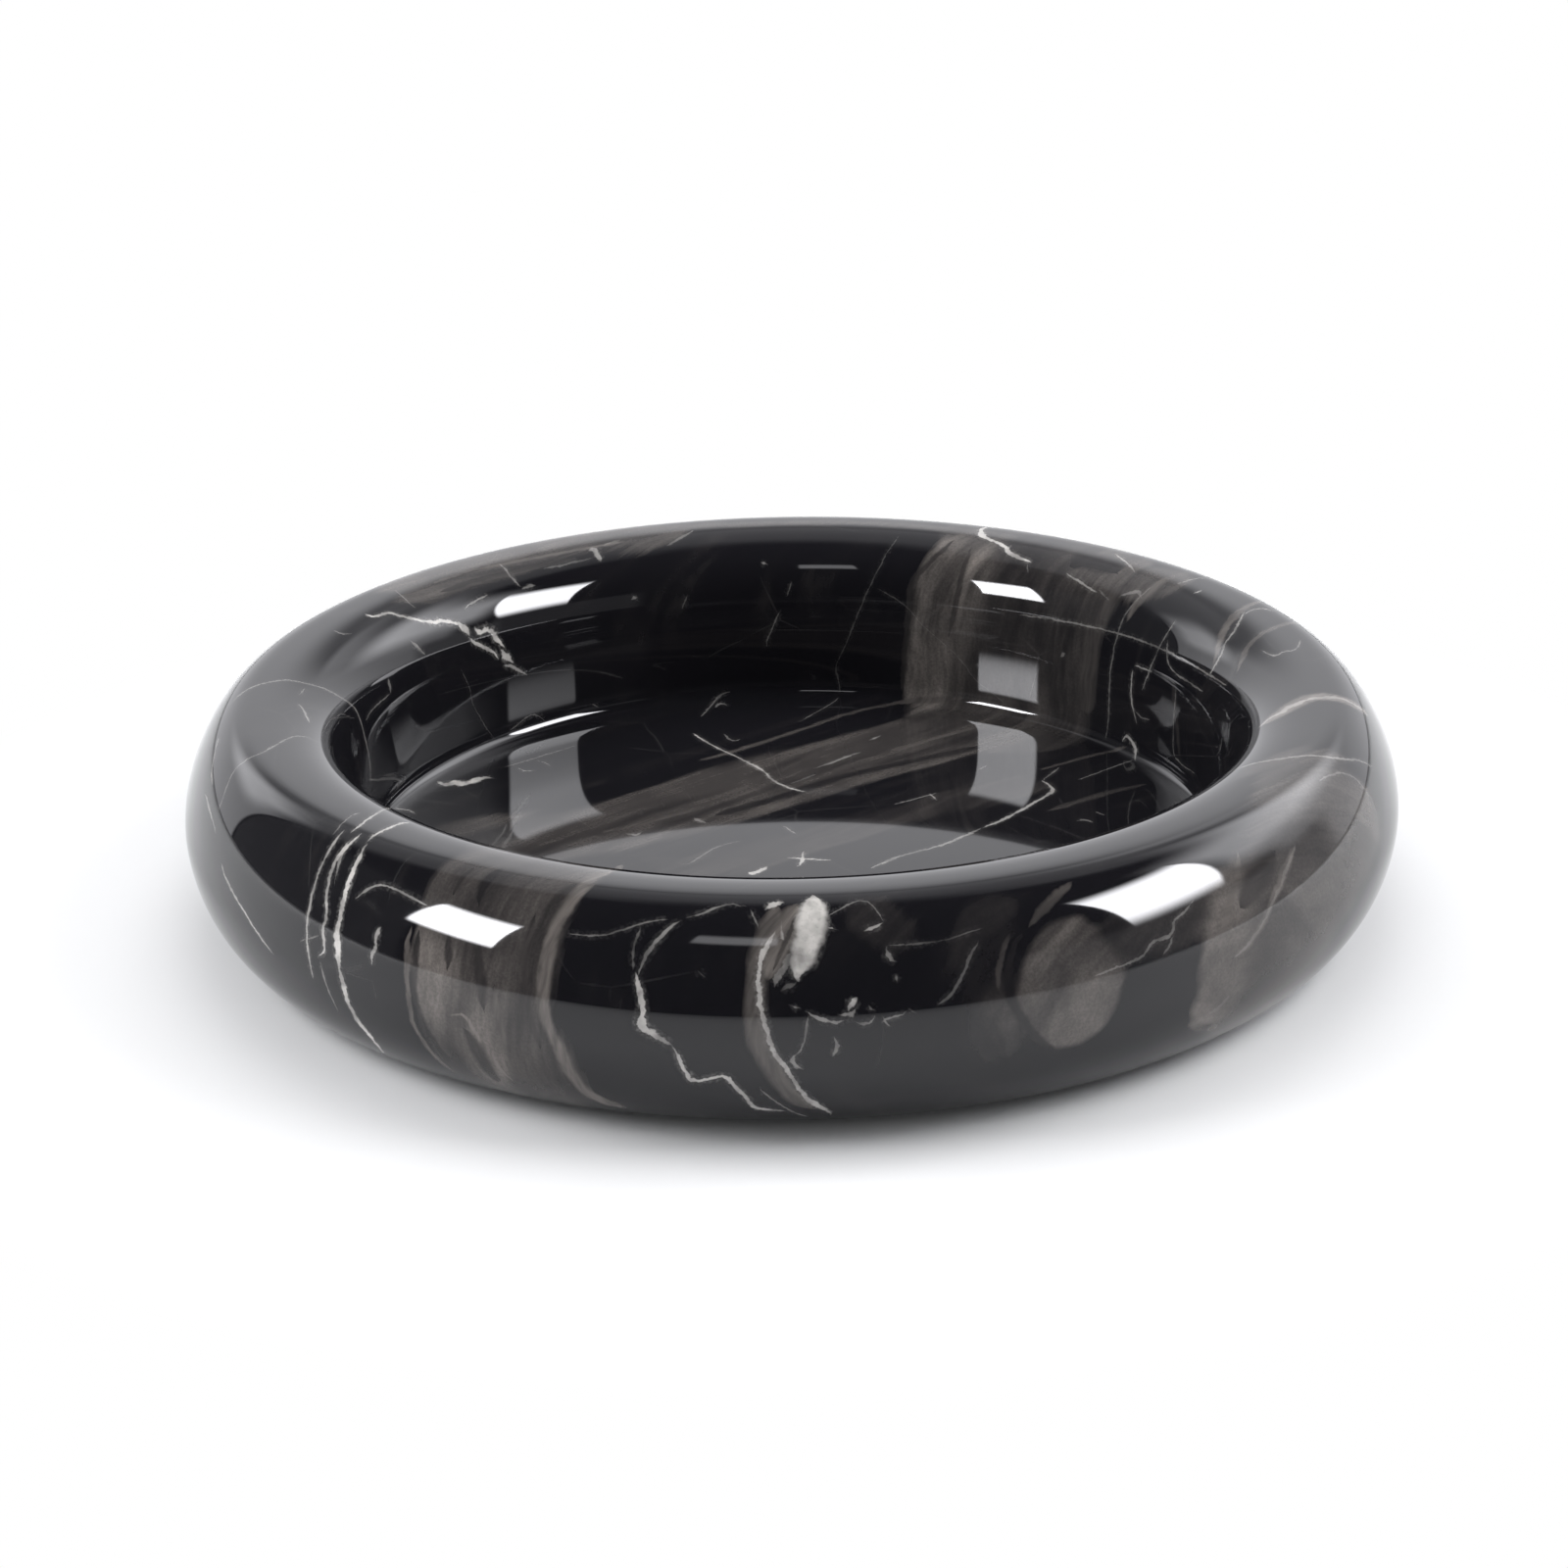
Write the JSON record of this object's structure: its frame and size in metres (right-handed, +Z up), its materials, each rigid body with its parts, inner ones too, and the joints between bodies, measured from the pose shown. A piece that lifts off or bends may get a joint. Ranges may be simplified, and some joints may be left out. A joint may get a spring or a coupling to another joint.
{
  "type": "round tray",
  "caption": "Round black marble tray with a thick rolled rim and a flat recessed floor, on small anti-slip pads.",
  "frame": {"origin": "on the table, under the middle of the tray, in the plane of the pads' undersides", "axes": "+Z up out of the tray's hollow; the picture is taken from the -Y side, and -X is on its left"},
  "size_m": [0.3, 0.3, 0.0538],
  "materials": {
    "black_marble": "polished",
    "pad_rubber": "matte"
  },
  "bodies": {
    "root": {"tray_body": "black_marble", "pad_back_right": "pad_rubber", "pad_back_left": "pad_rubber", "pad_front_left": "pad_rubber", "pad_front_right": "pad_rubber"}
  },
  "joints": []
}
